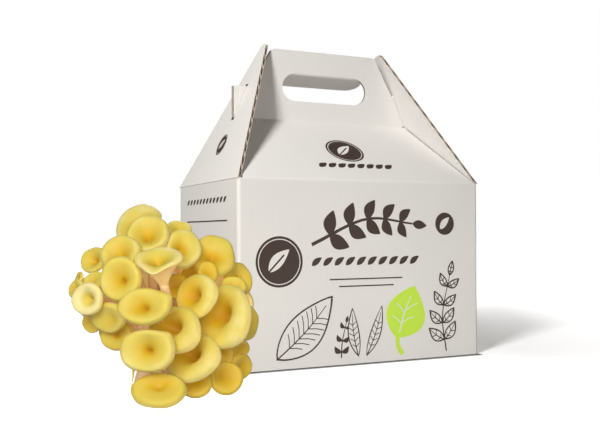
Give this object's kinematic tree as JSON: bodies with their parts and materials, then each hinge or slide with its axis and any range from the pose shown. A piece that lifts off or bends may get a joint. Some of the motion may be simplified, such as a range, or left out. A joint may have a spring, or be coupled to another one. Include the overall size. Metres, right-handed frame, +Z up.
{
  "type": "oyster mushroom grow kit",
  "caption": "Printed carton with a carrying handle and folding end panels, a substrate bag inside, and a picked cluster of golden oyster mushrooms beside it.",
  "frame": {"origin": "middle of the carton's underside", "axes": "+X to the right along the carton's front, +Y from its front to its back, +Z up"},
  "size_m": [0.3813, 0.2758, 0.292],
  "materials": {
    "card": "white-lined corrugated board, matt, with kraft-brown cut edges",
    "bag": "frosted film over pale, moist straw and sawdust",
    "caps": "smooth, dry golden-yellow cap skin, satin",
    "stems": "cream mushroom flesh with fine lengthwise fibres, matt"
  },
  "bodies": {
    "kit": {"carton_body": "card", "lid_front": "card", "lid_back": "card", "substrate_bag": "bag", "stem_cluster": "stems", "cap_middle": "caps", "cap_lower_middle": "caps", "cap_bottom_left": "caps", "cap_crescent_centre": "caps", "cap_centre_funnel": "caps", "cap_lower_right": "caps", "cap_left_centre": "caps", "cap_left_pale": "caps", "cap_left_low": "caps", "cap_right_centre": "caps", "cap_bottom_centre": "caps", "cap_right_large": "caps", "cap_left_upper": "caps", "cap_under_left": "caps", "cap_low_left_small": "caps", "cap_left_small": "caps", "cap_bottom_right": "caps", "cap_low_right_small": "caps", "cap_right_inner": "caps", "cap_far_left_low": "caps", "cap_right_thumb": "caps", "cap_far_left": "caps", "cap_top_front": "caps", "cap_low_right_edge": "caps", "cap_left_top_small": "caps", "cap_right_folded": "caps", "cap_top_right": "caps", "cap_right_edge_small": "caps", "cap_far_left_back": "caps", "cap_right_edge": "caps", "cap_right_top_large": "caps", "cap_top_back": "caps", "cap_top_right_back": "caps", "cap_inner_centre": "caps", "cap_inner_right": "caps", "cap_back_top": "caps", "cap_back_upper_left": "caps", "cap_back_upper_right": "caps", "cap_back_centre": "caps", "cap_back_left": "caps", "cap_back_right": "caps", "cap_back_inner_left": "caps", "cap_back_inner_right": "caps", "cap_back_side_left": "caps", "cap_back_low_left": "caps", "cap_back_low_centre": "caps", "cap_back_low_right": "caps"},
    "left_end": {"end_panel_left": "card"},
    "right_end": {"end_panel_right": "card"}
  },
  "joints": [
    {"name": "left_end_fold", "type": "hinge", "parent": "kit", "child": "left_end", "pos_m": [-0.12, 0, 0.16], "axis": [0, -1, 0], "range_deg": [0, 110]},
    {"name": "right_end_fold", "type": "hinge", "parent": "kit", "child": "right_end", "pos_m": [0.12, 0, 0.16], "axis": [0, 1, 0], "range_deg": [0, 110]}
  ]
}
